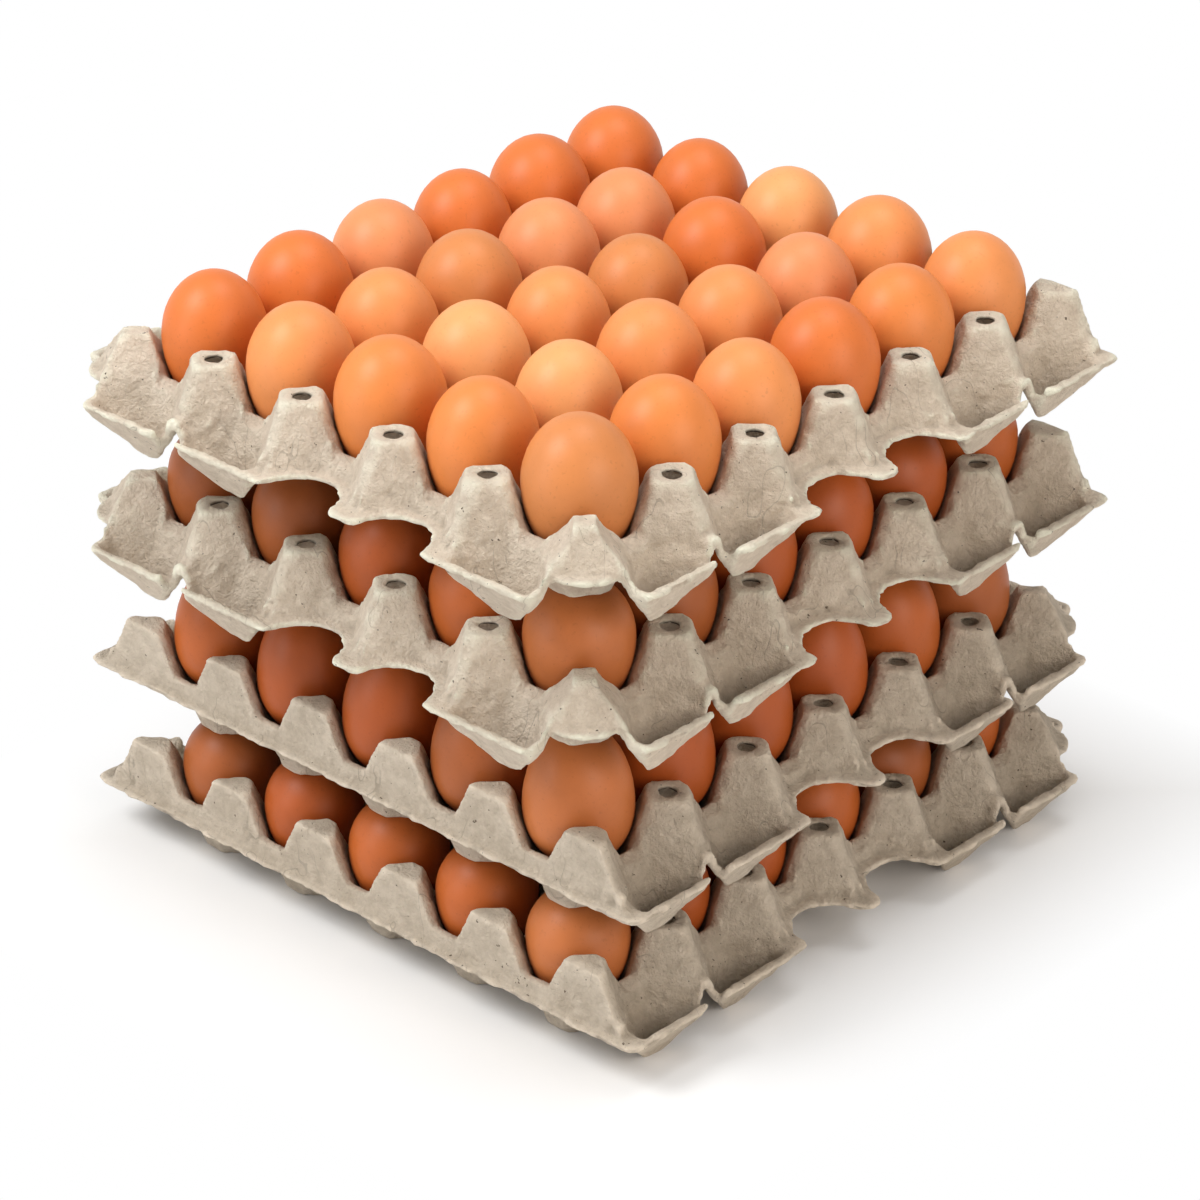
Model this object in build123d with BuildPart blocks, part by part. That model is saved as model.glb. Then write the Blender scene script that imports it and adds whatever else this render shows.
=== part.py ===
"""A stack of four moulded-pulp egg trays, each loaded with thirty eggs.

One tray design is used four times: a grid of eight-sided cups between hollow tapering posts,
with a margin of partial cups on three sides and a close-trimmed fourth side.  The two lower
trays lie with the trimmed side to the front, the two upper ones with it to the back.  Every
egg hangs between the faces of four posts, and every tray rests on the eggs of the layer below.

Millimetres, +Z up, origin on the floor under the middle of the stack.
"""

import os
from math import atan2, cos, degrees, radians, sin, sqrt

from build123d import *

os.makedirs("parts", exist_ok=True)

# Cup grid, and the tray's levels above its own underside
CELLS_X = 5
CELLS_Y = 6
PITCH_X = 49.3
PITCH_Y = 47.0
TRAY_HEIGHT = 46.0
SADDLE_HEIGHT = 28.5
STEP_HEIGHT = 26.3
SHELF_HEIGHT = 26.5
RIM_HEIGHT = 22.0
CORNER_POST_HEIGHT = 42.5
WALL = 2.0
RIM_THICKNESS = 2.4

# Cups and posts: slopes are millimetres sideways for each millimetre of height
BEAD_WIDTH = 3.0
CUP_SLOPE = 0.44
POST_ACROSS = 16.4
POST_ALONG = 19.0
POST_SLOPE = 0.352
RIDGE_SLOPE = 0.5
RIDGE_WIDTH = 4.0
POST_HOLE = 7.0
DISH_HEIGHT = 2.4
DISH_WIDTH = 18.6
DISH_SLOPE = 1.7
DISH_SIDE = 0.6

# Margins, measured outwards from the outermost line of posts
MARGIN = 30.5
MARGIN_FLOOR_END = 17.0
MARGIN_SLOPE = 0.5
STEP_WIDTH = 3.5
STEP_LENGTH = 11.0
LIP_START = 21.5
FINGER_NOTCH_RADIUS = 17.0
FINGER_NOTCH_SET_IN = 2.0
RIM_ROUNDING = 5.0
SHELF_START = 18.0
SHELF_END = 22.5
SHELF_NOTCH_WIDTH = 11.0
CORNER_RADIUS = 17.0
CORNER_SET_IN = 2.0
CORNER_POST_SHIFT = 2.5
CORNER_POST_ACROSS = 10.0
TRIM_WALL = 2.0
TRIM_LIP = 5.5

# Which bays of a margin carry finger notches, counted from the left seen from outside
NOTCHED_BAYS_SIDE = (2, 3)
NOTCHED_BAYS_END = (2, 3)

# Eggs of each layer, from the bottom: radius, depth below and height above the widest ring
EGG_LAYERS = ((20.8, 29.0, 21.4), (22.0, 25.0, 34.8), (21.7, 31.5, 24.4), (21.8, 32.5, 26.6))
EGG_SPREAD = 0.4
EGG_CLEARANCE = 0.2
LAYERS_TRIMMED_IN_FRONT = 2

EDGE_X = CELLS_X * PITCH_X / 2
EDGE_Y = CELLS_Y * PITCH_Y / 2
HALF_DIAGONAL = (PITCH_X + PITCH_Y) / 2 / sqrt(2)
SADDLE_UNDERSIDE = SADDLE_HEIGHT - WALL
RIM_UNDERSIDE = RIM_HEIGHT - RIM_THICKNESS
SHELF_UNDERSIDE = SHELF_HEIGHT - WALL
OVER = 1.0
REACH = 200.0


def cup_flat(pitch, height):
    """Half width of a cup between two flats that face along the grid."""
    return pitch / 2 - BEAD_WIDTH / 2 - CUP_SLOPE * (SADDLE_HEIGHT - height)


def cup_diagonal(height):
    """Half width of a cup between two flats that face the posts."""
    return HALF_DIAGONAL - post_across(height)


def post_across(height):
    """Half width of a post between two of its wide faces."""
    return POST_ACROSS / 2 + POST_SLOPE * (TRAY_HEIGHT - height)


def corner_across(height):
    """Half width of a low corner post between its flanks, which end where the saddles begin."""
    spread = post_across(SADDLE_HEIGHT) - CORNER_POST_ACROSS / 2
    return CORNER_POST_ACROSS / 2 + spread * (CORNER_POST_HEIGHT - height) / (CORNER_POST_HEIGHT - SADDLE_HEIGHT)


def post_along(height):
    """Half width of a post between two of its narrow ridge faces."""
    return POST_ALONG / 2 + RIDGE_SLOPE * (TRAY_HEIGHT - height)


def gutter(height):
    """Half width of the hollow that runs under a line of saddles."""
    return CUP_SLOPE * (SADDLE_UNDERSIDE - height)


def behind(half_width, slope):
    """The same flat, set one wall thickness inside the solid it bounds."""
    return lambda height: half_width(height) - WALL * sqrt(1 + slope**2)


def upright(turn):
    """Vertical plane through the origin whose own x axis runs at this angle in plan."""
    angle = radians(turn)
    return Plane(
        origin=(0, 0, 0),
        x_dir=(cos(angle), sin(angle), 0),
        z_dir=(sin(angle), -cos(angle), 0),
    )


def prism(turn, outline, width=2 * REACH):
    """Upright outline of (distance, height) points, given a width across its plane."""
    with BuildPart() as solid:
        with BuildSketch(upright(turn)):
            Polygon(*outline, align=None)
        extrude(amount=width / 2, both=True)
    return solid.part


def eight_sided(low, high, flat_x, flat_y, diagonal):
    """Tapering solid whose four pairs of flats each lean at a slope of their own."""
    with BuildPart() as solid:
        pairs = ((0, flat_x), (90, flat_y), (45, diagonal), (135, diagonal))
        for number, (turn, half) in enumerate(pairs):
            section = (
                (-half(low), low),
                (half(low), low),
                (half(high), high),
                (-half(high), high),
            )
            mode = Mode.INTERSECT if number else Mode.ADD
            add(prism(turn, section), mode=mode)
    return solid.part


def cup_space(pitch_x, pitch_y, floor):
    """The open space inside one cup, from its floor to above the posts."""
    return eight_sided(
        floor,
        TRAY_HEIGHT + OVER,
        lambda height: cup_flat(pitch_x, height),
        lambda height: cup_flat(pitch_y, height),
        cup_diagonal,
    )


def dish(low, high, half_top):
    """Shallow eight-sided dome that a cup's floor rises in, over the egg below."""

    def half(height):
        return half_top + DISH_SLOPE * (high - height)

    return eight_sided(low, high, half, half, half)


def saddle_gap(pitch):
    """Notch between two posts, which leaves a narrow ridge face on each of them."""
    low = pitch / 2 - post_along(SADDLE_HEIGHT)
    top = TRAY_HEIGHT + OVER
    high = pitch / 2 - post_along(top)
    section = ((-low, SADDLE_HEIGHT), (low, SADDLE_HEIGHT), (high, top), (-high, top))
    return prism(0, section, RIDGE_WIDTH)


def outward_ridge(level):
    """Cut that gives an edge post its ridge face towards the rim, down to a level."""
    top = TRAY_HEIGHT + OVER
    section = (
        (post_along(top), top),
        (post_along(level), level),
        (REACH, level),
        (REACH, top),
    )
    return prism(0, section, RIDGE_WIDTH)


def margin_cup(along, out):
    """Space of a partial cup in the margin; +X is outwards, origin on the post line."""
    start = BEAD_WIDTH / 2 + STEP_WIDTH
    top = TRAY_HEIGHT + OVER
    inner_low = start + CUP_SLOPE * (STEP_HEIGHT - WALL)
    inner_high = start + CUP_SLOPE * (STEP_HEIGHT - top)
    outer_high = MARGIN_FLOOR_END + MARGIN_SLOPE * (top - WALL)
    section = (
        (inner_low, WALL),
        (MARGIN_FLOOR_END, WALL),
        (outer_high, top),
        (inner_high, top),
    )
    with BuildPart() as space:
        with Locations((out / 2, 0)):
            add(cup_space(out, along, WALL))
        add(prism(0, section), mode=Mode.INTERSECT)
    return space.part


def notched_cup(along, out):
    """Space of a shallow margin bay, which ends in a flat lip with a finger notch."""
    with BuildPart() as space:
        with Locations((out / 2, 0)):
            add(cup_space(out, along, RIM_HEIGHT))
        start = BEAD_WIDTH / 2 + STEP_WIDTH
        top = TRAY_HEIGHT + OVER
        section = (
            (start + CUP_SLOPE * (STEP_HEIGHT - RIM_HEIGHT), RIM_HEIGHT),
            (REACH, RIM_HEIGHT),
            (REACH, top),
            (start + CUP_SLOPE * (STEP_HEIGHT - top), top),
        )
        add(prism(0, section), mode=Mode.INTERSECT)
    return space.part


def sides():
    """The three wide margins: turn, post-line distance, bay pitch, bays, notched bays."""
    return (
        (0, EDGE_X, PITCH_Y, CELLS_Y, PITCH_X, NOTCHED_BAYS_SIDE),
        (180, EDGE_X, PITCH_Y, CELLS_Y, PITCH_X, NOTCHED_BAYS_SIDE),
        (90, EDGE_Y, PITCH_X, CELLS_X, PITCH_Y, NOTCHED_BAYS_END),
    )


def on_side(turn, distance, along):
    """Place on a margin: outwards is +X of the place, along the margin is its +Y."""
    angle = radians(turn)
    x = distance * cos(angle) - along * sin(angle)
    y = distance * sin(angle) + along * cos(angle)
    return Location((x, y, 0), (0, 0, turn))


def bay_places(turn, distance, pitch, bays, wanted):
    """Places of the chosen bays of a margin."""
    return [
        on_side(turn, distance, (bay - (bays - 1) / 2) * pitch) for bay in wanted
    ]


def post_places(turn, distance, pitch, bays, wanted):
    """Places of the chosen posts of a margin, counted between its bays."""
    return [on_side(turn, distance, (post - bays / 2) * pitch) for post in wanted]


def tray_outline():
    """Plan of the whole tray, with finger notches, shelf notches and round corners."""
    with BuildSketch() as outline:
        length = 2 * EDGE_Y + TRIM_LIP - CORNER_SET_IN
        with Locations((0, -EDGE_Y - TRIM_LIP + length / 2)):
            Rectangle(2 * (EDGE_X + MARGIN), length)
        full = 2 * EDGE_Y + TRIM_LIP + MARGIN
        with Locations((0, -EDGE_Y - TRIM_LIP + full / 2)):
            Rectangle(2 * (EDGE_X - CORNER_SET_IN), full)
        with Locations((EDGE_X, EDGE_Y), (-EDGE_X, EDGE_Y)):
            Circle(CORNER_RADIUS)
        for turn, distance, pitch, bays, _, notched in sides():
            notch_line = distance + MARGIN - FINGER_NOTCH_SET_IN
            with Locations(*bay_places(turn, notch_line, pitch, bays, notched)):
                Circle(FINGER_NOTCH_RADIUS, mode=Mode.SUBTRACT)
            with Locations(*post_places(turn, distance, pitch, bays, shelf_posts(bays, notched))):
                with Locations((SHELF_END + MARGIN / 2, 0)):
                    Rectangle(MARGIN, SHELF_NOTCH_WIDTH, mode=Mode.SUBTRACT)
        offset(amount=-RIM_ROUNDING, mode=Mode.REPLACE)
        offset(amount=RIM_ROUNDING, mode=Mode.REPLACE)
    return outline.sketch


def shelf_posts(bays, notched):
    """Posts of a margin that stand between two deep bays."""
    return [post for post in range(1, bays) if not {post - 1, post} & set(notched)]


def deep_bays(bays, notched):
    """Bays of a margin that hold a full partial cup."""
    return [bay for bay in range(bays) if bay not in notched]


def lip_posts(bays, notched):
    """Posts of a margin that stand beside a notched bay."""
    return [post for post in range(1, bays) if {post - 1, post} & set(notched)]


def foot_clearance(along):
    """Everything outside the outer wall of a deep margin bay, under its lip."""
    start = MARGIN_FLOOR_END + RIM_THICKNESS
    low, high = -OVER, RIM_UNDERSIDE
    section = (
        (start + MARGIN_SLOPE * (low - WALL), low),
        (start + MARGIN_SLOPE * (high - WALL), high),
        (REACH, high),
        (REACH, low),
    )
    return prism(0, section, along)


def outside(low, high, start, width=2 * REACH):
    """Plain block outwards of a line: used above the lips and under the flanges."""
    return prism(0, ((start, low), (REACH, low), (REACH, high), (start, high)), width)


def step_recess():
    """Small step outside the raised bead of a saddle on the outermost line of posts."""
    inner = BEAD_WIDTH / 2
    outer = inner + STEP_WIDTH + OVER
    top = TRAY_HEIGHT
    section = ((inner, STEP_HEIGHT), (outer, STEP_HEIGHT), (outer, top), (inner, top))
    return prism(0, section, STEP_LENGTH)


def edge_gutter(length):
    """Hollow under the saddles of an outermost line of posts, wider outside by the step."""
    step_underside = STEP_HEIGHT - WALL
    section = (
        (-gutter(-OVER), -OVER),
        (0, SADDLE_UNDERSIDE),
        (BEAD_WIDTH / 2, step_underside),
        (STEP_WIDTH, step_underside),
        (STEP_WIDTH + CUP_SLOPE * (step_underside + OVER), -OVER),
    )
    return prism(0, section, length)


def line_gutter(length):
    """Hollow of triangular section under an inner line of saddles, along Y."""
    half = gutter(-OVER)
    return prism(0, ((-half, -OVER), (half, -OVER), (0, SADDLE_UNDERSIDE)), length)


def ridge_gutter(peak):
    """Hollow under the ridge that runs outwards from an edge post, along +X."""
    half = CUP_SLOPE * (SHELF_UNDERSIDE + OVER)
    half_top = CUP_SLOPE * (SHELF_UNDERSIDE - peak)
    section = ((-half, -OVER), (half, -OVER), (half_top, peak), (-half_top, peak))
    if peak == SHELF_UNDERSIDE:
        section = ((-half, -OVER), (half, -OVER), (0, peak))
    with BuildPart() as hollow:
        with BuildSketch(Plane.YZ):
            Polygon(*section, align=None)
        extrude(amount=REACH)
    return hollow.part


def post_hollow(top):
    """The space inside one post, open underneath."""
    along = behind(post_along, RIDGE_SLOPE)
    return eight_sided(-OVER, top, along, along, behind(post_across, POST_SLOPE))


def grid_places(count_x, count_y, turn=0):
    """Places on the cup grid, centred on the tray."""
    return [
        Location(((i - (count_x - 1) / 2) * PITCH_X, (j - (count_y - 1) / 2) * PITCH_Y, 0), (0, 0, turn))
        for i in range(count_x)
        for j in range(count_y)
    ]


def at(places, solid):
    """Copies of a cutting solid at all these places."""
    return [place * solid for place in places]


def cuts_from_above():
    """Cups, saddles, margins, shelves, the trimmed side and the holes of the posts."""
    dish_half = DISH_WIDTH / 2 - DISH_SLOPE * DISH_HEIGHT
    with BuildPart() as cup:
        add(cup_space(PITCH_X, PITCH_Y, WALL))
        add(dish(WALL - OVER, WALL + DISH_HEIGHT, dish_half - DISH_SIDE), mode=Mode.SUBTRACT)
    cuts = at(grid_places(CELLS_X, CELLS_Y), cup.part)
    cuts += at(grid_places(CELLS_X, CELLS_Y + 1), saddle_gap(PITCH_X))
    cuts += at(grid_places(CELLS_X + 1, CELLS_Y, 90), saddle_gap(PITCH_Y))

    shelf_ridge = outward_ridge(SHELF_HEIGHT)
    shelf_top = outside(SHELF_HEIGHT, REACH, SHELF_START, SHELF_NOTCH_WIDTH)
    for turn, distance, pitch, bays, out, notched in sides():
        side = (turn, distance, pitch, bays)
        shelves = shelf_posts(bays, notched)
        cuts += at(bay_places(*side, deep_bays(bays, notched)), margin_cup(pitch, out))
        cuts += at(bay_places(*side, notched), notched_cup(pitch, out))
        cuts += at(bay_places(*side, range(bays)), step_recess())
        cuts += at(post_places(*side, shelves), shelf_ridge)
        cuts += at(post_places(*side, shelves), shelf_top)
        cuts += at(post_places(*side, lip_posts(bays, notched)), outward_ridge(RIM_HEIGHT))
        cuts += lip_tops(side, shelves)

    corner_shelf = cup_space(PITCH_X, PITCH_Y, SHELF_HEIGHT)
    half_top = POST_ALONG
    top = (
        (-half_top, CORNER_POST_HEIGHT),
        (half_top, CORNER_POST_HEIGHT),
        (half_top, TRAY_HEIGHT + OVER),
        (-half_top, TRAY_HEIGHT + OVER),
    )
    flank = (
        (corner_across(TRAY_HEIGHT + OVER), TRAY_HEIGHT + OVER),
        (corner_across(SADDLE_HEIGHT), SADDLE_HEIGHT),
        (half_top, SADDLE_HEIGHT),
        (half_top, TRAY_HEIGHT + OVER),
    )
    for hand in (-1, 1):
        place = Location((hand * EDGE_X, EDGE_Y, 0))
        shift_x = hand * (PITCH_X / 2 - CORNER_POST_SHIFT)
        cuts.append(place * Location((shift_x, PITCH_Y / 2 - CORNER_POST_SHIFT, 0)) * corner_shelf)
        cuts.append(place * prism(0, top, 2 * half_top))
        cuts.append(place * prism(45 * hand, flank, 2 * half_top))
        cuts.append(place * prism(45 * hand + 180, flank, 2 * half_top))
        outwards = 0 if hand > 0 else 180
        cuts.append(place * Location((0, 0, 0), (0, 0, outwards)) * shelf_ridge)
        cuts.append(place * Location((0, 0, 0), (0, 0, 90)) * shelf_ridge)
        cuts.append(Location((hand * EDGE_X, -EDGE_Y, 0), (0, 0, outwards)) * outward_ridge(SADDLE_HEIGHT))

    cuts.append(Location((0, -EDGE_Y, 0), (0, 0, -90)) * outside(RIM_HEIGHT, REACH, TRIM_WALL))
    with BuildPart() as hole:
        with BuildSketch(Plane.XY.offset(TRAY_HEIGHT - WALL - OVER)):
            Circle(POST_HOLE / 2)
        extrude(amount=WALL + 2 * OVER)
    cuts += at([place for place in post_grid() if kind_of(place) == "whole"], hole.part)
    return cuts


def lip_tops(side, shelves):
    """Clears what stands above the lip of one margin, between its shelves."""
    turn, distance, pitch, bays = side
    stops = [-bays / 2 * pitch - TRIM_LIP]
    for post in shelves:
        middle = (post - bays / 2) * pitch
        stops += [middle - SHELF_NOTCH_WIDTH / 2, middle + SHELF_NOTCH_WIDTH / 2]
    stops += [bays / 2 * pitch + TRIM_LIP]
    return [
        on_side(turn, distance, (start + end) / 2) * outside(RIM_HEIGHT, REACH, LIP_START, end - start)
        for start, end in zip(stops[0::2], stops[1::2])
    ]


def post_grid():
    """Places of all posts of a tray."""
    return grid_places(CELLS_X + 1, CELLS_Y + 1)


def kind_of(place):
    """Whole post, half post of the trimmed side, or one of the two low corner posts."""
    x, y = place.position.X, place.position.Y
    if y < OVER - EDGE_Y:
        return "trimmed"
    return "corner" if y > EDGE_Y - OVER and abs(x) > EDGE_X - OVER else "whole"


def cuts_from_below():
    """Hollows of the posts, gutters under the saddles and the undersides of the margins."""
    whole = post_hollow(TRAY_HEIGHT - WALL)
    low = post_hollow(CORNER_POST_HEIGHT - WALL)
    kept_wall = (
        (-REACH, -OVER),
        (REACH, -OVER),
        (REACH, RIM_UNDERSIDE),
        (0, RIM_UNDERSIDE),
        (0, REACH),
        (-REACH, REACH),
    )
    with BuildPart() as trimmed:
        add(whole)
        add(prism(-90, kept_wall), mode=Mode.INTERSECT)
    with BuildPart() as trimmed_gutter:
        add(Location((0, 0, 0), (0, 0, 90)) * line_gutter(2 * EDGE_X))
        add(prism(-90, kept_wall), mode=Mode.INTERSECT)
    hollows = {"whole": whole, "trimmed": trimmed.part}
    half_low = corner_across(-OVER) - WALL
    half_high = corner_across(CORNER_POST_HEIGHT) - WALL
    between_flanks = (
        (-half_low, -OVER),
        (half_low, -OVER),
        (half_high, CORNER_POST_HEIGHT),
        (-half_high, CORNER_POST_HEIGHT),
    )
    for hand in (-1, 1):
        with BuildPart() as corner:
            add(low)
            with Locations((-hand * CORNER_POST_SHIFT, -CORNER_POST_SHIFT)):
                add(low, mode=Mode.INTERSECT)
            add(prism(45 * hand, between_flanks), mode=Mode.INTERSECT)
        hollows[hand] = corner.part
    cuts = []
    for place in post_grid():
        kind = kind_of(place)
        if kind == "corner":
            kind = 1 if place.position.X > 0 else -1
        cuts.append(place * hollows[kind])

    along_y = line_gutter(2 * EDGE_Y)
    along_x = Location((0, 0, 0), (0, 0, 90)) * line_gutter(2 * EDGE_X)
    cuts += [Location(((i - (CELLS_X - 2) / 2) * PITCH_X, 0, 0)) * along_y for i in range(CELLS_X - 1)]
    cuts += [Location((0, (j - (CELLS_Y - 2) / 2) * PITCH_Y, 0)) * along_x for j in range(CELLS_Y - 1)]
    cuts.append(Location((0, -EDGE_Y, 0)) * trimmed_gutter.part)
    dish_half = DISH_WIDTH / 2 - DISH_SLOPE * DISH_HEIGHT
    cuts += at(grid_places(CELLS_X, CELLS_Y), dish(-OVER, DISH_HEIGHT, dish_half))

    for turn, distance, pitch, bays, _, notched in sides():
        side = (turn, distance, pitch, bays)
        cuts.append(on_side(turn, distance, 0) * edge_gutter(bays * pitch))
        cuts += at(bay_places(*side, deep_bays(bays, notched)), foot_clearance(pitch))
        cuts += at(bay_places(*side, notched), outside(-OVER, RIM_UNDERSIDE, 0, pitch))
        cuts += at(post_places(*side, shelf_posts(bays, notched)), ridge_gutter(SHELF_UNDERSIDE))
        cuts += at(post_places(*side, lip_posts(bays, notched)), ridge_gutter(RIM_UNDERSIDE))

    corner_under = Location((0, REACH / 2, 0)) * outside(-OVER, SHELF_UNDERSIDE, 0, REACH)
    for hand, outwards in ((-1, 180), (1, 0)):
        place = Location((hand * EDGE_X, EDGE_Y, 0), (0, 0, 90 - 90 * hand))
        quarter = corner_under if hand > 0 else Location((0, -REACH, 0)) * corner_under
        cuts.append(place * quarter)
        cuts.append(place * ridge_gutter(SHELF_UNDERSIDE))
        cuts.append(Location((hand * EDGE_X, EDGE_Y, 0), (0, 0, 90)) * ridge_gutter(SHELF_UNDERSIDE))
        cuts.append(Location((hand * EDGE_X, -EDGE_Y, 0), (0, 0, outwards)) * ridge_gutter(RIM_UNDERSIDE))
    cuts.append(Location((0, -EDGE_Y, 0), (0, 0, -90)) * outside(-OVER, RIM_UNDERSIDE, 0))
    return cuts


def pole_radius(radius, length):
    """Radius of the cap at one end of an egg, as round as a half ellipse of these sizes."""
    return radius**2 / length


def side_radius(radius, length):
    """Radius of the side that meets both that cap and the widest ring smoothly."""
    pole = pole_radius(radius, length)
    return (radius**2 + length**2 - 2 * length * pole) / (2 * (radius - pole))


def egg(radius, below, above):
    """An egg on its axis, of arcs that meet smoothly; its widest ring is at height 0."""
    with BuildPart() as shell:
        with BuildSketch(Plane.XZ):
            with BuildLine():
                for length, hand in ((above, -1), (below, 1)):
                    pole = pole_radius(radius, length)
                    turn = degrees(atan2(side_radius(radius, length) - radius, length - pole))
                    cap = JernArc((0, -hand * length), (1, 0), pole, hand * turn)
                    TangentArc(cap @ 1, (radius, 0), tangent=cap % 1)
                Line((0, above), (0, -below))
            make_face()
        revolve(axis=Axis.Z)
    return shell.part


def seat_height(radius, below):
    """Height of an egg's widest ring when it hangs between the faces of four posts."""
    side = side_radius(radius, below)
    reach = radius - side + side * sqrt(1 + POST_SLOPE**2)
    return (reach + EGG_CLEARANCE - cup_diagonal(0)) / POST_SLOPE


def crown_reach(radius, above):
    """How far the crown of an egg reaches into the dish under the tray on top of it."""
    pole = pole_radius(radius, above)
    mouth = DISH_WIDTH / 2 - EGG_CLEARANCE
    depth_at_mouth = pole - sqrt(pole**2 - mouth**2)
    return min(DISH_HEIGHT, depth_at_mouth) - EGG_CLEARANCE


def column_at(column):
    return (column - (CELLS_X - 1) / 2) * PITCH_X


def row_at(row):
    return (row - (CELLS_Y - 1) / 2) * PITCH_Y


with BuildPart() as tray:
    with BuildSketch():
        add(tray_outline())
    extrude(amount=TRAY_HEIGHT)
    add(cuts_from_above(), mode=Mode.SUBTRACT)
    add(cuts_from_below(), mode=Mode.SUBTRACT)

underside = 0.0
for layer, (radius, below, above) in enumerate(EGG_LAYERS, start=1):
    turn = 0 if layer <= LAYERS_TRIMMED_IN_FRONT else 180
    with BuildPart() as loaded_tray:
        with Locations(Location((0, 0, underside), (0, 0, turn))):
            add(tray.part)
    loaded_tray.part.label = f"tray_{layer}"
    export_step(loaded_tray.part, f"parts/tray_{layer}.step")

    widest = underside + seat_height(radius, below)
    top_layer = layer == len(EGG_LAYERS)
    for row in range(CELLS_Y):
        if top_layer:
            for column in range(CELLS_X):
                step = (3 * column + 5 * row) % 7 / 3 - 1
                girth = radius + EGG_SPREAD * step
                height = underside + seat_height(girth, below)
                with BuildPart() as top_egg:
                    with Locations((column_at(column), row_at(row), height)):
                        add(egg(girth, below, above))
                name = f"egg_{row + 1}_{column + 1}"
                top_egg.part.label = name
                export_step(top_egg.part, f"parts/{name}.step")
        else:
            with BuildPart() as egg_row:
                with Locations(*[(column_at(i), row_at(row), widest) for i in range(CELLS_X)]):
                    add(egg(radius, below, above))
            name = f"eggs_layer_{layer}_row_{row + 1}"
            egg_row.part.label = name
            export_step(egg_row.part, f"parts/{name}.step")
    underside = widest + above - crown_reach(radius, above)
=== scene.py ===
"""A stack of four moulded-pulp egg trays with their eggs, dressed for a product photograph."""

from math import cos, floor, hypot, radians, sin, sqrt

import bpy
from mathutils import Matrix, Vector


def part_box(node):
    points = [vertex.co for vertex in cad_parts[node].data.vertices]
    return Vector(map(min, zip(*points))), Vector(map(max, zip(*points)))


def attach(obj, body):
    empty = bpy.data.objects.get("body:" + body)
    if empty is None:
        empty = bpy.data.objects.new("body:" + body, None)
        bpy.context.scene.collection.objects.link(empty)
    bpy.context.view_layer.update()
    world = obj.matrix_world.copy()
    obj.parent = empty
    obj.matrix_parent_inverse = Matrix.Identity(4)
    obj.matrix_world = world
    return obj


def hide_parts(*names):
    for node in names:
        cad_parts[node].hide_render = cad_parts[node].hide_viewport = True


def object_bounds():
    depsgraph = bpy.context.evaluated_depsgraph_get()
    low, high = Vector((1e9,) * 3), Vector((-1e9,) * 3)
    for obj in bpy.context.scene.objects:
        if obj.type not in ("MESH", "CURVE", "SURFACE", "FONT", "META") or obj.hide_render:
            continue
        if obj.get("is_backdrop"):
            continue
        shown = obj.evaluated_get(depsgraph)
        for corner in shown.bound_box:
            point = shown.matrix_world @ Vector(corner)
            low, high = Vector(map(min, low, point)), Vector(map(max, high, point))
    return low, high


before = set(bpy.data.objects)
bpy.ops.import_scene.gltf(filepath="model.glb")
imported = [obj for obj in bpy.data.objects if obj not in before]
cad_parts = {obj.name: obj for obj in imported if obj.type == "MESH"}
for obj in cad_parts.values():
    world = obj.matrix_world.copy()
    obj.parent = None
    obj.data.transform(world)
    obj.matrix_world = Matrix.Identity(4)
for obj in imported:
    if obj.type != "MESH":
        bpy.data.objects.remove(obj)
cad_low, cad_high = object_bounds()


# The pulp of the trays: wet paper fibre drawn onto a mesh mould and dried.
# It dries a warm light grey, rough to the touch, with dark specks of old print in it;
# its edges and ridges are made paler than the rest, and its creases darker with painted shade.

def link(tree, source, socket):
    """Joins two sockets of a node tree."""
    tree.links.new(source, socket)


def noise(tree, vector, scale, detail=2.0, roughness=0.5, distortion=0.0):
    """Adds a noise texture that reads a vector, and returns it."""
    node = tree.nodes.new("ShaderNodeTexNoise")
    node.inputs["Scale"].default_value = scale
    node.inputs["Detail"].default_value = detail
    node.inputs["Roughness"].default_value = roughness
    node.inputs["Distortion"].default_value = distortion
    link(tree, vector, node.inputs["Vector"])
    return node


def remap(tree, source, low, high, to_low=0.0, to_high=1.0):
    """Adds a clamped map from one range to another, and returns its result."""
    node = tree.nodes.new("ShaderNodeMapRange")
    node.inputs["From Min"].default_value = low
    node.inputs["From Max"].default_value = high
    node.inputs["To Min"].default_value = to_low
    node.inputs["To Max"].default_value = to_high
    link(tree, source, node.inputs["Value"])
    return node.outputs["Result"]


def tint(tree, mask, under, over):
    """Adds a mix from a colour under to a colour over where the mask says."""
    node = tree.nodes.new("ShaderNodeMix")
    node.data_type = "RGBA"
    link(tree, mask, node.inputs["Factor"])
    sockets = [s for s in node.inputs if s.type == "RGBA"]
    for socket, value in zip(sockets, (under, over)):
        if isinstance(value, tuple):
            socket.default_value = (*value, 1.0)
        else:
            link(tree, value, socket)
    return next(s for s in node.outputs if s.type == "RGBA")


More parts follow.
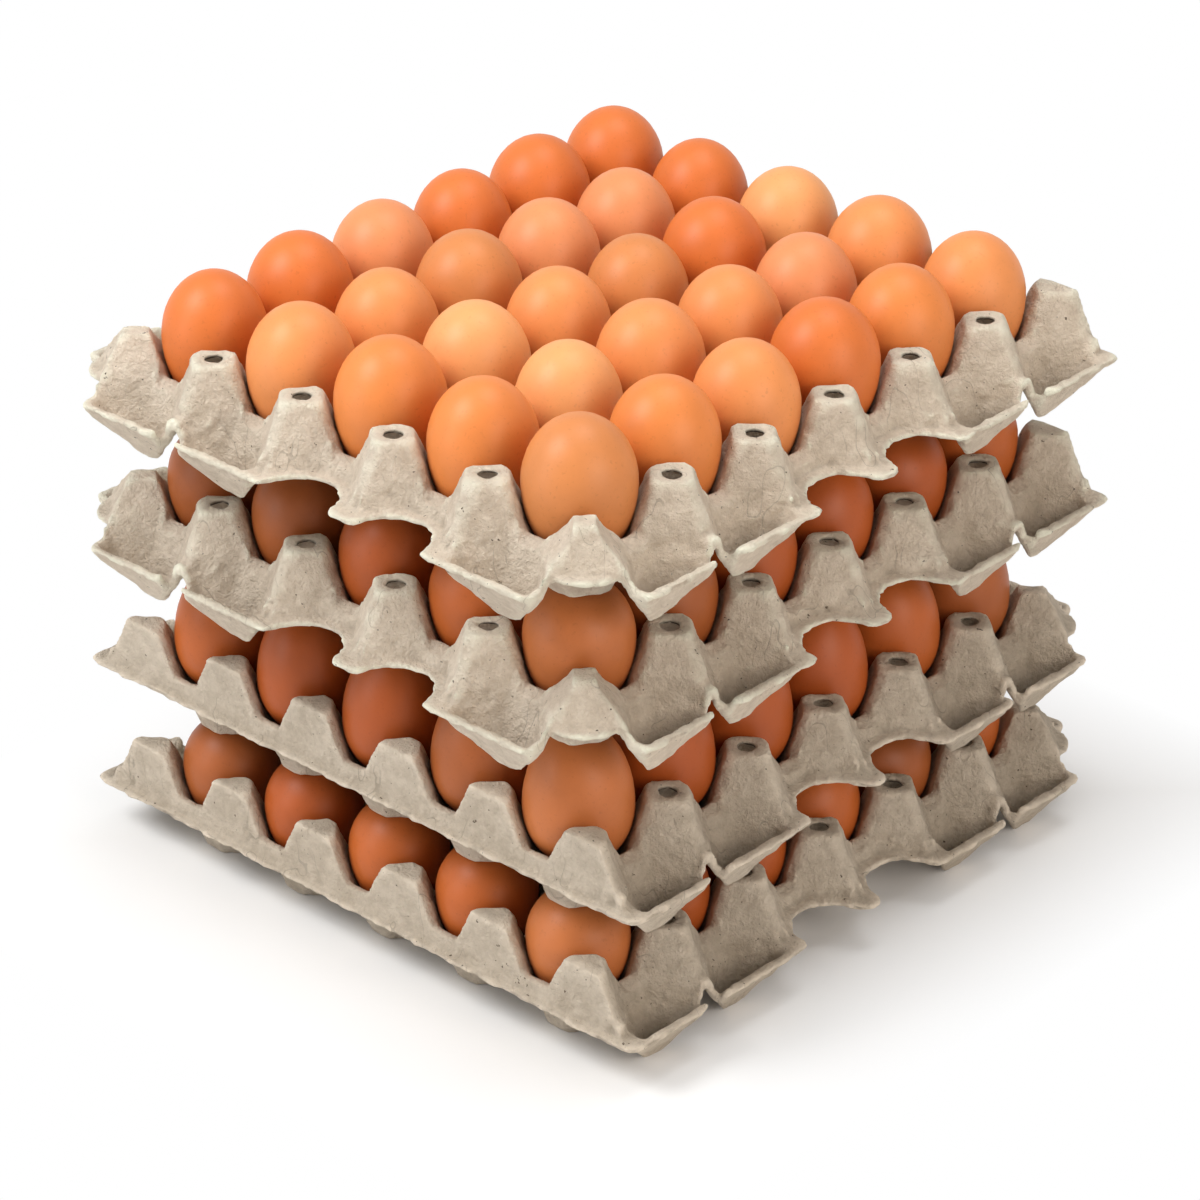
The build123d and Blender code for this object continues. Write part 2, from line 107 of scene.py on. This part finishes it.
def fibre_group():
    """Group that puts out the tone, specks, paler edges, painted crease shade, wrinkles and
    height of moulded fibre.
    """
    group = bpy.data.node_groups.new("moulded_fibre", "ShaderNodeTree")
    for name in ("Tone", "Specks", "Paler_edges", "Painted_crease_shade", "Wrinkle", "Height"):
        group.interface.new_socket(name, in_out="OUTPUT", socket_type="NodeSocketFloat")
    group.interface.new_socket("Vector", in_out="INPUT", socket_type="NodeSocketVector")
    start = group.nodes.new("NodeGroupInput").outputs["Vector"]
    end = group.nodes.new("NodeGroupOutput")

    patches = noise(group, start, 14.0, 3.0, 0.55)
    fibres = noise(group, start, 700.0, 5.0, 0.7, 0.8)
    clots = noise(group, start, 170.0, 3.0, 0.6, 0.4)
    tone = group.nodes.new("ShaderNodeMath")
    tone.operation = "ADD"
    link(group, remap(group, patches.outputs["Fac"], 0.3, 0.7, 0.0, 0.30), tone.inputs[0])
    link(group, remap(group, fibres.outputs["Fac"], 0.3, 0.7, 0.0, 0.30), tone.inputs[1])
    mixed = group.nodes.new("ShaderNodeMath")
    mixed.operation = "ADD"
    link(group, tone.outputs[0], mixed.inputs[0])
    link(group, remap(group, clots.outputs["Fac"], 0.36, 0.64, 0.0, 0.40), mixed.inputs[1])
    link(group, mixed.outputs[0], end.inputs["Tone"])

    specks = noise(group, start, 480.0, 2.0, 0.5)
    link(group, remap(group, specks.outputs["Fac"], 0.71, 0.76), end.inputs["Specks"])

    shape = group.nodes.new("ShaderNodeNewGeometry").outputs["Pointiness"]
    # From pointiness: paler on edges and ridges, and painted shade in hollows and creases
    link(group, remap(group, shape, 0.510, 0.58), end.inputs["Paler_edges"])
    link(group, remap(group, shape, 0.485, 0.42), end.inputs["Painted_crease_shade"])

    # Creases run down the walls: the middle level of a drawn-out noise, in patches only
    drawn = group.nodes.new("ShaderNodeVectorMath")
    drawn.operation = "MULTIPLY"
    drawn.inputs[1].default_value = (1.0, 1.0, 0.25)
    link(group, start, drawn.inputs[0])
    line = noise(group, drawn.outputs[0], 70.0, 1.0, 0.5)
    apart = group.nodes.new("ShaderNodeMath")
    apart.operation = "COMPARE"
    apart.inputs[1].default_value = 0.5
    apart.inputs[2].default_value = 0.004
    link(group, line.outputs["Fac"], apart.inputs[0])
    where = noise(group, start, 38.0, 1.0, 0.5)
    wrinkle = group.nodes.new("ShaderNodeMath")
    wrinkle.operation = "MULTIPLY"
    link(group, apart.outputs[0], wrinkle.inputs[0])
    link(group, remap(group, where.outputs["Fac"], 0.50, 0.60, 0.0, 0.5), wrinkle.inputs[1])
    link(group, wrinkle.outputs[0], end.inputs["Wrinkle"])

    lumps = noise(group, start, 360.0, 5.0, 0.66)
    height = group.nodes.new("ShaderNodeMath")
    height.operation = "MULTIPLY_ADD"
    height.inputs[1].default_value = 0.55
    link(group, fibres.outputs["Fac"], height.inputs[0])
    link(group, lumps.outputs["Fac"], height.inputs[2])
    sunk = group.nodes.new("ShaderNodeMath")
    sunk.operation = "MULTIPLY_ADD"
    sunk.inputs[1].default_value = -0.25
    link(group, wrinkle.outputs[0], sunk.inputs[0])
    link(group, height.outputs[0], sunk.inputs[2])
    link(group, sunk.outputs[0], end.inputs["Height"])
    return group


def pulp_material(name, pale, dark):
    """Pulp between two tones, with specks, paler edges, painted shade in its creases and post
    holes, and a rough surface.
    """
    material = bpy.data.materials.new(name)
    material.use_nodes = True
    tree = material.node_tree
    shader = tree.nodes["Principled BSDF"]
    shader.inputs["Roughness"].default_value = 0.92
    shader.inputs["Specular IOR Level"].default_value = 0.15
    place = tree.nodes.new("ShaderNodeTexCoord").outputs["Object"]
    fibre = tree.nodes.new("ShaderNodeGroup")
    fibre.node_tree = FIBRE
    link(tree, place, fibre.inputs["Vector"])
    paler_edge = tuple(min(1.0, value * EDGES_PALER) for value in pale)
    # A darker tone that is painted shade in creases and hollows, and also the colour of the
    # wrinkle lines
    shade_and_wrinkle = tuple(value * SHADE_AND_WRINKLE_DARKER for value in dark)
    colour = tint(tree, fibre.outputs["Tone"], dark, pale)
    # Painted shade darkens the creases and hollows
    colour = tint(tree, fibre.outputs["Painted_crease_shade"], colour, shade_and_wrinkle)
    colour = tint(tree, fibre.outputs["Paler_edges"], colour, paler_edge)
    colour = tint(tree, fibre.outputs["Wrinkle"], colour, shade_and_wrinkle)
    colour = tint(tree, fibre.outputs["Specks"], colour, SPECK)
    # Painted shade on the walls of the post holes
    painted_hole_shade = tree.nodes.new("ShaderNodeAttribute")
    painted_hole_shade.attribute_name = "painted_hole_shade"
    colour = tint(tree, painted_hole_shade.outputs["Fac"], colour, HOLE_SHADE)
    link(tree, colour, shader.inputs["Base Color"])
    bump = tree.nodes.new("ShaderNodeBump")
    bump.inputs["Strength"].default_value = 1.0
    bump.inputs["Distance"].default_value = FIBRE_DEPTH
    link(tree, fibre.outputs["Height"], bump.inputs["Height"])
    link(tree, bump.outputs["Normal"], shader.inputs["Normal"])
    return material


FIBRE = fibre_group()
SPECK = (0.16, 0.12, 0.085)
# Colour of the painted shade in the post holes
HOLE_SHADE = (0.035, 0.026, 0.018)
# How much paler the edges and ridges are made, and how much darker the painted crease shade and
# the wrinkle lines are
EDGES_PALER = 1.25
SHADE_AND_WRINKLE_DARKER = 0.72
FIBRE_DEPTH = 0.0026
# The lower two trays are darker, partly as a darker pulp of their own and partly as painted
# shade from the trays above them
PULP = {
    "pulp_upper": pulp_material("pulp_upper", (0.89, 0.775, 0.635), (0.61, 0.505, 0.39)),
    "pulp_lower": pulp_material("pulp_lower", (0.77, 0.67, 0.545), (0.51, 0.425, 0.325)),
}

# The trays: four shells of moulded pulp, all from one mould.  The plain solid is cast again
# as a soft shell, whose edges round over and whose walls lie a little uneven.  The upper two
# trays are turned half round on the lower two.

# Metres, measured from the middle of a tray and up from its underside
VOXEL = 0.0012
TRIANGLES = 190000
ROWS = 6
COLUMNS = 5
CELL_X = 0.0493
CELL_Y = 0.0470
# Size and depth of the unevenness that the mesh mould and drying leave, coarse then fine
UNEVEN = ((0.012, 0.0011), (0.0045, 0.0010))
# The same for the torn outer edge of the rim
RAGGED = ((0.009, 0.0026), (0.0035, 0.0015))
# The outermost lines of posts, and the heights between which the rim lies
POST_LINE_X = 0.12325
POST_LINE_Y = 0.141
RIM_BAND = (0.0175, 0.0285)
# How far past the posts the wide rim, and past the last post the trimmed rim, begin
RIM_CLEAR = 0.009
TRIM_CLEAR = 0.003
# Feet of the margin bays: where they begin, and how much they round and draw in
FOOT_CLEAR = 0.006
FOOT_HEIGHT = 0.013
FOOT_ROUNDS = 60
FOOT_TAPER = 0.36
FOOT_PULL = 0.35
TAPER_FADE = (0.003, 0.010)
# Low corner posts: heights and reach of the change, its lean inwards and its narrowing
CORNER_SHELF = 0.0275
CORNER_TOP = 0.0425
CORNER_REACH = 0.022
CORNER_FADE = 0.004
CORNER_LEAN = 0.0025
CORNER_PINCH = 0.55
# The rim round those corners is torn less than the rest
CORNER_BAND = 0.012
CORNER_CALM = 0.1
# Vent holes of the posts, and the depth over which their painted shade sets in
HOLE_RADIUS = 0.0042
HOLE_LOW = 0.038
HOLE_HIGH = 0.0458
HOLE_FADE = 0.0012


def outside_posts(place, clear):
    """How far a point lies past the outer line of posts, beyond a clearance."""
    return max(abs(place.x) - POST_LINE_X, abs(place.y) - POST_LINE_Y) - clear


def weigh(part, name, weight):
    """Adds a vertex group that holds a weight for each vertex that has one."""
    group = part.vertex_groups.new(name=name)
    for vertex in part.data.vertices:
        value = weight(vertex)
        if value > 0:
            group.add([vertex.index], min(value, 1.0), "REPLACE")
    return group.name


def soften(part, factor, iterations, group=""):
    """Smooths a mesh, all over or where a vertex group says."""
    smooth = part.modifiers.new("soften", "SMOOTH")
    smooth.factor = factor
    smooth.iterations = iterations
    smooth.vertex_group = group
    bpy.ops.object.modifier_apply(modifier=smooth.name)


def roughen(part, levels, group=""):
    """Moves a mesh's surface in and out by soft noise of some sizes and depths."""
    for size, depth in levels:
        clouds = bpy.data.textures.new("uneven", "CLOUDS")
        clouds.noise_scale = size
        clouds.noise_depth = 1
        uneven = part.modifiers.new("uneven", "DISPLACE")
        uneven.texture = clouds
        uneven.texture_coords = "LOCAL"
        uneven.strength = depth
        uneven.mid_level = 0.5
        uneven.vertex_group = group
        bpy.ops.object.modifier_apply(modifier=uneven.name)


def foot_share(vertex):
    """Full on the foot of a margin bay, fading up its side."""
    if outside_posts(vertex.co, FOOT_CLEAR) < 0:
        return 0.0
    return 2 * (1 - vertex.co.z / FOOT_HEIGHT)


def rim_share(vertex):
    """Full on the upright outer edge of the rim, nothing on flat faces."""
    low, high = RIM_BAND
    trimmed = vertex.co.y < -POST_LINE_Y - TRIM_CLEAR
    wide = outside_posts(vertex.co, RIM_CLEAR) > 0
    if not low < vertex.co.z < high or not (trimmed or wide):
        return 0.0
    past_x = abs(vertex.co.x) > POST_LINE_X - CORNER_BAND
    past_y = vertex.co.y > POST_LINE_Y - CORNER_BAND
    calm = CORNER_CALM if past_x and past_y else 1
    return calm * (1.4 * (1 - abs(vertex.normal.z)) - 0.2)


def ramp(value, start, end):
    """Smooth step from nothing at the start to one at the end."""
    share = min(max((value - start) / (end - start), 0.0), 1.0)
    return share * share * (3 - 2 * share)


def taper_feet(part):
    """Draws each foot of the margin bays in towards the middle of its bay."""
    for vertex in part.data.vertices:
        place = vertex.co
        outward = ramp(outside_posts(place, 0), *TAPER_FADE)
        share = FOOT_TAPER * ramp(place.z, RIM_BAND[0], 0.0) * outward
        if share <= 0:
            continue
        past_x = abs(place.x) - POST_LINE_X
        past_y = place.y - POST_LINE_Y
        if past_x > past_y:
            bay = (floor((place.y + POST_LINE_Y) / CELL_Y) + 0.5) * CELL_Y - POST_LINE_Y
            place.y += share * (bay - place.y)
            place.x -= share * FOOT_PULL * past_x * (1 if place.x > 0 else -1)
        else:
            bay = (floor((place.x + POST_LINE_X) / CELL_X) + 0.5) * CELL_X - POST_LINE_X
            place.x += share * (bay - place.x)
            place.y -= share * FOOT_PULL * past_y


def pinch_corner_posts(part):
    """Narrows the two low corner posts to ridges that point out at the corners."""
    for vertex in part.data.vertices:
        hand = 1 if vertex.co.x > 0 else -1
        from_x = (vertex.co.x - hand * POST_LINE_X) * hand
        from_y = vertex.co.y - POST_LINE_Y
        along = (from_x + from_y) / sqrt(2)
        across = (from_y - from_x) / sqrt(2)
        near = ramp(max(abs(along), abs(across)), CORNER_REACH, CORNER_REACH - CORNER_FADE)
        share = near * ramp(vertex.co.z, CORNER_SHELF, CORNER_TOP)
        if share <= 0:
            continue
        along -= share * CORNER_LEAN
        across *= 1 - share * CORNER_PINCH
        vertex.co.x = hand * (POST_LINE_X + (along - across) / sqrt(2))
        vertex.co.y = POST_LINE_Y + (along + across) / sqrt(2)


def mark_holes(part):
    """Marks the walls of the holes in the post tops, which lie in shade, for painted shade."""
    marks = part.data.attributes.new("painted_hole_shade", "FLOAT", "POINT")
    for vertex in part.data.vertices:
        x = (vertex.co.x + POST_LINE_X) / CELL_X
        y = (vertex.co.y + POST_LINE_Y) / CELL_Y
        off = hypot((x - round(x)) * CELL_X, (y - round(y)) * CELL_Y)
        bored = 0 < round(y) < ROWS or (round(y) == ROWS and 0 < round(x) < COLUMNS)
        if bored and off < HOLE_RADIUS and vertex.co.z > HOLE_LOW:
            marks.data[vertex.index].value = ramp(vertex.co.z, HOLE_HIGH, HOLE_HIGH - HOLE_FADE)


bpy.ops.object.select_all(action="DESELECT")
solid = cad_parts["tray_1"]
bpy.context.view_layer.objects.active = solid
solid.select_set(True)
bpy.ops.object.duplicate()
shell = bpy.context.view_layer.objects.active
shell.name = "pulp_tray_1"
bpy.ops.object.mode_set(mode="EDIT")
bpy.ops.mesh.select_all(action="SELECT")
bpy.ops.mesh.remove_doubles(threshold=1e-6)
bpy.ops.object.mode_set(mode="OBJECT")
cast = shell.modifiers.new("cast", "REMESH")
cast.mode = "VOXEL"
cast.voxel_size = VOXEL
bpy.ops.object.modifier_apply(modifier=cast.name)
pinch_corner_posts(shell)
taper_feet(shell)
soften(shell, 0.5, 3)
soften(shell, 0.5, FOOT_ROUNDS, weigh(shell, "foot", foot_share))
roughen(shell, RAGGED, weigh(shell, "rim", rim_share))
roughen(shell, UNEVEN)
soften(shell, 0.5, 1)
shell.vertex_groups.clear()
thin = shell.modifiers.new("thin", "DECIMATE")
thin.ratio = TRIANGLES / (2 * len(shell.data.polygons))
bpy.ops.object.modifier_apply(modifier=thin.name)
bpy.ops.object.shade_smooth()
mark_holes(shell)

trays = [shell]
for layer in (2, 3, 4):
    bpy.ops.object.select_all(action="DESELECT")
    shell.select_set(True)
    bpy.context.view_layer.objects.active = shell
    bpy.ops.object.duplicate()
    copy = bpy.context.view_layer.objects.active
    copy.name = f"pulp_tray_{layer}"
    copy.location.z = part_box(f"tray_{layer}")[0].z
    copy.rotation_mode = "XYZ"
    copy.rotation_euler = (0, 0, radians(180) if layer > 2 else 0)
    bpy.ops.object.transform_apply(location=True, rotation=True, scale=True)
    trays.append(copy)

for layer, tray in enumerate(trays, start=1):
    finish = "pulp_lower" if layer <= 2 else "pulp_upper"
    tray.data.materials.clear()
    tray.data.materials.append(PULP[finish])
    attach(tray, "root")
    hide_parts(f"tray_{layer}")


# The eggs: brown hens' eggs, each shell its own shade from pale peach to deep orange, and those
# of the lower layers darker with painted shade, with a satin bloom and fine pores.  They stand
# on end in the cups, and a layer has one size.

SHELL_COLOURS = {
    "pale": (0.85, 0.37, 0.135),
    "peach": (0.80, 0.285, 0.088),
    "tan": (0.66, 0.235, 0.070),
    "pink": (0.79, 0.285, 0.110),
    "orange": (0.76, 0.235, 0.056),
    "deep": (0.70, 0.175, 0.035),
    # These four hold painted shade: the colours of the eggs in the lower layers, which lie
    # under the trays above
    "amber": (0.55, 0.165, 0.045),
    "russet": (0.43, 0.088, 0.014),
    "rust": (0.50, 0.115, 0.020),
    "brown": (0.40, 0.105, 0.024),
}
MOTTLE_DARKER = 0.90
SPECK_DARKER = 0.86
PORE_DEPTH = 0.00006


def shell_group():
    """Group that puts out the mottling, specks and pores of an eggshell."""
    group = bpy.data.node_groups.new("eggshell_surface", "ShaderNodeTree")
    for name in ("Mottle", "Specks", "Pores"):
        group.interface.new_socket(name, in_out="OUTPUT", socket_type="NodeSocketFloat")
    group.interface.new_socket("Vector", in_out="INPUT", socket_type="NodeSocketVector")
    start = group.nodes.new("NodeGroupInput").outputs["Vector"]
    end = group.nodes.new("NodeGroupOutput")
    mottle = noise(group, start, 55.0, 4.0, 0.6)
    link(group, remap(group, mottle.outputs["Fac"], 0.3, 0.7), end.inputs["Mottle"])
    specks = noise(group, start, 620.0, 2.0, 0.6)
    link(group, remap(group, specks.outputs["Fac"], 0.60, 0.72), end.inputs["Specks"])
    pores = noise(group, start, 900.0, 2.0, 0.5)
    link(group, pores.outputs["Fac"], end.inputs["Pores"])
    return group


def shell_material(name, colour):
    """Satin eggshell of one shade."""
    material = bpy.data.materials.new(f"eggshell_{name}")
    material.use_nodes = True
    tree = material.node_tree
    shader = tree.nodes["Principled BSDF"]
    shader.inputs["Roughness"].default_value = 0.45
    shader.inputs["Specular IOR Level"].default_value = 0.35
    place = tree.nodes.new("ShaderNodeTexCoord").outputs["Object"]
    surface = tree.nodes.new("ShaderNodeGroup")
    surface.node_tree = SHELL_SURFACE
    link(tree, place, surface.inputs["Vector"])
    darker = tuple(value * MOTTLE_DARKER for value in colour)
    speck = tuple(value * SPECK_DARKER for value in colour)
    shade = tint(tree, surface.outputs["Mottle"], darker, colour)
    shade = tint(tree, surface.outputs["Specks"], shade, speck)
    link(tree, shade, shader.inputs["Base Color"])
    bump = tree.nodes.new("ShaderNodeBump")
    bump.inputs["Strength"].default_value = 0.5
    bump.inputs["Distance"].default_value = PORE_DEPTH
    link(tree, surface.outputs["Pores"], bump.inputs["Height"])
    link(tree, bump.outputs["Normal"], shader.inputs["Normal"])
    return material


SHELL_SURFACE = shell_group()
SHELLS = {name: shell_material(name, colour) for name, colour in SHELL_COLOURS.items()}

# Share of an egg's height that lies below its widest ring, for each layer from the bottom
BELOW_SHARE = {1: 0.5754, 2: 0.4181, 3: 0.5635, 4: 0.5499}
EGG_SEGMENTS = 36
EGG_RINGS = 22
RING_SLACK = 1e-6


def lay_egg(name, centre_x, centre_y, low, high, girth, below_share, shade):
    """One egg: a sphere drawn out above and below its widest ring, set down in its cup."""
    below = (high - low) * below_share
    above = (high - low) - below
    place = (centre_x, centre_y, low + below)
    bpy.ops.object.select_all(action="DESELECT")
    bpy.ops.mesh.primitive_uv_sphere_add(
        segments=EGG_SEGMENTS, ring_count=EGG_RINGS, radius=girth, location=place
    )
    egg = bpy.context.view_layer.objects.active
    egg.name = name
    bpy.ops.object.transform_apply(location=True, rotation=True, scale=True)
    for half, length in ((-1, below), (1, above)):  # the half below the ring, then above it
        bpy.ops.object.mode_set(mode="EDIT")
        bpy.ops.mesh.select_mode(type="VERT")
        bpy.ops.mesh.select_all(action="DESELECT")
        bpy.ops.object.mode_set(mode="OBJECT")
        for vertex in egg.data.vertices:
            vertex.select = (vertex.co.z - place[2]) * half > RING_SLACK
        bpy.ops.object.mode_set(mode="EDIT")
        bpy.ops.transform.resize(value=(1, 1, length / girth), center_override=place)
        bpy.ops.object.mode_set(mode="OBJECT")
    egg.data.materials.clear()
    egg.data.materials.append(SHELLS[shade])
    bpy.ops.object.shade_smooth()
    return egg


# Most eggs of the top layer are peach; these, by row and column, stand out from them
ODD_SHADES = {
    "deep": ((1, 1), (2, 1), (4, 1), (5, 1), (6, 1), (6, 2), (5, 3), (4, 5)),
    "pink": ((3, 1), (4, 2), (5, 2), (5, 4)),
    "orange": ((1, 3), (1, 4), (2, 5), (5, 5)),
    "tan": ((3, 2), (4, 3), (1, 5)),
    "pale": ((2, 3), (6, 3), (2, 4)),
}
TOP_SHADE = {egg: shade for shade, eggs in ODD_SHADES.items() for egg in eggs}

for row in range(ROWS):
    for column in range(COLUMNS):
        node = f"egg_{row + 1}_{column + 1}"
        low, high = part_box(node)
        centre = (low + high) / 2
        egg = lay_egg(
            f"top_{node}", centre.x, centre.y, low.z, high.z, (high.x - low.x) / 2,
            BELOW_SHARE[4], TOP_SHADE.get((row + 1, column + 1), "peach"),
        )
        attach(egg, "root")
        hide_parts(node)

# Colours of the lower layers' eggs, darker with painted shade from the trays above; the egg at
# each front corner, where more light reaches it, has a lighter painted shade, amber
LOWER_PAINTED_SHADE_COLOURS = ("russet", "rust", "brown", "russet", "rust", "russet", "brown")
for layer in (1, 2, 3):
    for row in range(ROWS):
        node = f"eggs_layer_{layer}_row_{row + 1}"
        low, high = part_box(node)
        girth = (high.y - low.y) / 2
        step = (high.x - low.x - 2 * girth) / (COLUMNS - 1)
        eggs = []
        for column in range(COLUMNS):
            shade = LOWER_PAINTED_SHADE_COLOURS[(3 * column + 5 * row + 2 * layer) % len(LOWER_PAINTED_SHADE_COLOURS)]
            if row == 0 and column == COLUMNS - 1:
                shade = "amber"
            eggs.append(lay_egg(
                f"row_of_{node}", low.x + girth + step * column, (low.y + high.y) / 2,
                low.z, high.z, girth, BELOW_SHARE[layer], shade,
            ))
        bpy.ops.object.select_all(action="DESELECT")
        for egg in eggs:
            egg.select_set(True)
        bpy.context.view_layer.objects.active = eggs[0]
        bpy.ops.object.join()
        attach(eggs[0], "root")
        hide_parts(node)


# The studio: a white sweep under the stack that keeps its shadow, and an even pale room.
# Four soft lights stand over the front left, above, low in front, and warm on the right.

FLOOR_SIZE = 12.0
WHITE = (1, 1, 1, 1)
PAPER_COLOUR = (0.93, 0.93, 0.93, 1)
# Distances from the stack's footprint between which the sweep turns to plain white
SHADOW_FADE = (-0.02, 0.07)
bpy.ops.object.select_all(action="DESELECT")
bpy.ops.mesh.primitive_plane_add(size=FLOOR_SIZE, location=(0, 0, 0))
sweep = bpy.context.view_layer.objects.active
sweep.name = "floor"
paper = bpy.data.materials.new("white_sweep")
paper.use_nodes = True
tree = paper.node_tree
shader = tree.nodes["Principled BSDF"]
shader.inputs["Base Color"].default_value = PAPER_COLOUR
shader.inputs["Roughness"].default_value = 0.9
shader.inputs["Specular IOR Level"].default_value = 0.0
sweep.data.materials.append(paper)
white = tree.nodes.new("ShaderNodeEmission")
white.inputs["Color"].default_value = WHITE
place = tree.nodes.new("ShaderNodeTexCoord").outputs["Object"]
mirrored = tree.nodes.new("ShaderNodeVectorMath")
mirrored.operation = "ABSOLUTE"
link(tree, place, mirrored.inputs[0])
past = tree.nodes.new("ShaderNodeVectorMath")
past.operation = "SUBTRACT"
past.inputs[1].default_value = (cad_high.x, cad_high.y, 0)
link(tree, mirrored.outputs[0], past.inputs[0])
sides = tree.nodes.new("ShaderNodeSeparateXYZ")
link(tree, past.outputs[0], sides.inputs[0])
distance = tree.nodes.new("ShaderNodeMath")
distance.operation = "MAXIMUM"
link(tree, sides.outputs["X"], distance.inputs[0])
link(tree, sides.outputs["Y"], distance.inputs[1])
far = remap(tree, distance.outputs[0], *SHADOW_FADE)
path = tree.nodes.new("ShaderNodeLightPath")
seen = tree.nodes.new("ShaderNodeMath")
seen.operation = "MAXIMUM"
link(tree, path.outputs["Is Camera Ray"], seen.inputs[0])
link(tree, path.outputs["Is Glossy Ray"], seen.inputs[1])
mask = tree.nodes.new("ShaderNodeMath")
mask.operation = "MULTIPLY"
link(tree, far, mask.inputs[0])
link(tree, seen.outputs[0], mask.inputs[1])
mix = tree.nodes.new("ShaderNodeMixShader")
link(tree, mask.outputs[0], mix.inputs["Fac"])
link(tree, shader.outputs["BSDF"], mix.inputs[1])
link(tree, white.outputs["Emission"], mix.inputs[2])
link(tree, mix.outputs["Shader"], tree.nodes["Material Output"].inputs["Surface"])
sweep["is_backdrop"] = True

ROOM_LIGHT = 0.30
world = bpy.data.worlds.new("room")
bpy.context.scene.world = world
world.use_nodes = True
tree = world.node_tree
room = tree.nodes["Background"]
room.inputs["Color"].default_value = WHITE
room.inputs["Strength"].default_value = ROOM_LIGHT
backdrop = tree.nodes.new("ShaderNodeBackground")
backdrop.inputs["Color"].default_value = WHITE
backdrop.inputs["Strength"].default_value = 1.0
path = tree.nodes.new("ShaderNodeLightPath")
seen = tree.nodes.new("ShaderNodeMath")
seen.operation = "MAXIMUM"
link(tree, path.outputs["Is Camera Ray"], seen.inputs[0])
link(tree, path.outputs["Is Glossy Ray"], seen.inputs[1])
also = tree.nodes.new("ShaderNodeMath")
also.operation = "MAXIMUM"
link(tree, seen.outputs[0], also.inputs[0])
link(tree, path.outputs["Is Transmission Ray"], also.inputs[1])
mix = tree.nodes.new("ShaderNodeMixShader")
link(tree, also.outputs[0], mix.inputs["Fac"])
link(tree, room.outputs["Background"], mix.inputs[1])
link(tree, backdrop.outputs["Background"], mix.inputs[2])
link(tree, mix.outputs["Shader"], tree.nodes["World Output"].inputs["Surface"])


def soft_light(name, place, aim, size, power, colour=(1.0, 1.0, 1.0)):
    """A square soft box that faces a point."""
    light = bpy.data.lights.new(name, "AREA")
    light.color = colour
    light.shape = "SQUARE"
    light.size = size
    light.energy = power
    lamp = bpy.data.objects.new(name, light)
    bpy.context.scene.collection.objects.link(lamp)
    lamp.location = place
    lamp.rotation_mode = "QUATERNION"
    lamp.rotation_quaternion = (Vector(aim) - Vector(place)).to_track_quat("-Z", "Y")


soft_light("key", (-0.55, -0.95, 1.35), (0, 0, 0.15), 0.7, 19)
soft_light("top", (0.10, 0.20, 1.6), (0, 0, 0.2), 0.8, 9)
soft_light("low", (-0.7, -1.5, 0.45), (0, 0, 0.08), 0.6, 4)
soft_light("fill", (1.5, -0.25, 0.75), (0, 0, 0.12), 0.9, 11, (1.0, 0.90, 0.80))

# The camera looks down on the front corner of the stack from the photograph's angle.

IMAGE_SIZE = 1200
FOCAL_PIXELS = 4240.3
SENSOR = 36.0
AZIMUTH = radians(42.35)
ELEVATION = radians(28.15)
ROLL = radians(0.34)
CAMERA_SIDE = (1.0495, -1.1491)
CAMERA_ABOVE_POSTS = 0.6975
right = Vector((cos(AZIMUTH), sin(AZIMUTH), 0))
back = Vector((sin(AZIMUTH) * cos(ELEVATION), -cos(AZIMUTH) * cos(ELEVATION), sin(ELEVATION)))
up = back.cross(right)
image_right = right * cos(ROLL) + up * sin(ROLL)
image_up = up * cos(ROLL) - right * sin(ROLL)
lens = bpy.data.cameras.new("camera")
lens.sensor_width = SENSOR
lens.lens = SENSOR * FOCAL_PIXELS / IMAGE_SIZE
camera = bpy.data.objects.new("camera", lens)
bpy.context.scene.collection.objects.link(camera)
turned = Matrix((image_right, image_up, back)).transposed().to_4x4()
camera.matrix_world = Matrix.Translation(
    (*CAMERA_SIDE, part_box("tray_4")[1].z + CAMERA_ABOVE_POSTS)
) @ turned
bpy.context.scene.camera = camera
bpy.context.scene.view_settings.view_transform = "Standard"

low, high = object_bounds()
